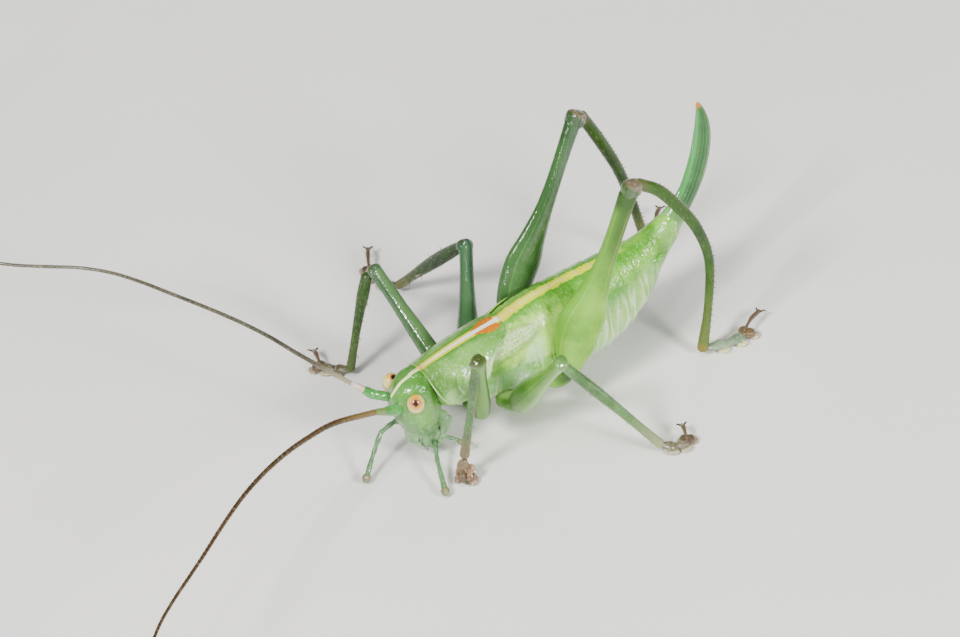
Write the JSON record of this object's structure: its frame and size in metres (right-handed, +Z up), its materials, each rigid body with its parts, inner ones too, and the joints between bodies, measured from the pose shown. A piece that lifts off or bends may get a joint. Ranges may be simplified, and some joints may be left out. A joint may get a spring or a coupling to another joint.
{
  "type": "long horned grasshopper",
  "caption": "Slender green bush cricket standing on raised legs, with very long curved feelers, a deep body, tiny wing pads and an upswept sabre-shaped egg-laying blade.",
  "frame": {"origin": "on the floor, at the middle of the whole model's box, feelers included", "axes": "+X to the animal's left, +Y towards its tail, +Z up"},
  "size_m": [0.0556, 0.0388, 0.0119],
  "materials": {
    "head": "smooth bluish green cuticle, glossy",
    "eye": "glossy cream dome with a rosy centre",
    "mouth": "thin whitish green cuticle",
    "palp": "translucent green cuticle with pale knobs",
    "scape": "glossy turquoise green cuticle",
    "antenna": "grey brown ringed feeler with fine hairs",
    "pronotum": "glossy green shield with a yellow and white stripe",
    "body": "soft yellow green skin with pale pleats",
    "wing": "thin pale scale with net veins",
    "leg": "green cuticle with fine spines",
    "tarsus": "translucent whitish lobes and brown claws",
    "ovipositor": "smooth mint green blade with a rusty point"
  },
  "bodies": {
    "root": {"head": "head", "eye_left": "eye", "maxillary_palp_left": "palp", "labial_palp_left": "palp", "antenna_left_scape": "scape", "antenna_left_base": "antenna", "antenna_left_inner": "antenna", "antenna_left_outer": "antenna", "antenna_left_tip": "antenna", "wing_left": "wing", "cercus_left": "body", "front_left_coxa": "leg", "front_left_femur": "leg", "front_left_tibia": "leg", "front_left_tarsus": "tarsus", "middle_left_coxa": "leg", "middle_left_femur": "leg", "middle_left_tibia": "leg", "middle_left_tarsus": "tarsus", "hind_left_coxa": "leg", "hind_left_femur": "leg", "hind_left_tibia": "leg", "hind_left_tarsus": "tarsus", "eye_right": "eye", "maxillary_palp_right": "palp", "labial_palp_right": "palp", "antenna_right_scape": "scape", "antenna_right_base": "antenna", "antenna_right_inner": "antenna", "antenna_right_outer": "antenna", "antenna_right_tip": "antenna", "wing_right": "wing", "cercus_right": "body", "front_right_coxa": "leg", "front_right_femur": "leg", "front_right_tibia": "leg", "front_right_tarsus": "tarsus", "middle_right_coxa": "leg", "middle_right_femur": "leg", "middle_right_tibia": "leg", "middle_right_tarsus": "tarsus", "hind_right_coxa": "leg", "hind_right_femur": "leg", "hind_right_tibia": "leg", "hind_right_tarsus": "tarsus", "mouthparts": "mouth", "labrum": "mouth", "pronotum": "pronotum", "thorax": "body", "abdomen_front": "body", "abdomen_middle": "body", "abdomen_rear": "body", "abdomen_tip": "body", "subgenital_plate": "body", "ovipositor": "ovipositor"}
  },
  "joints": []
}
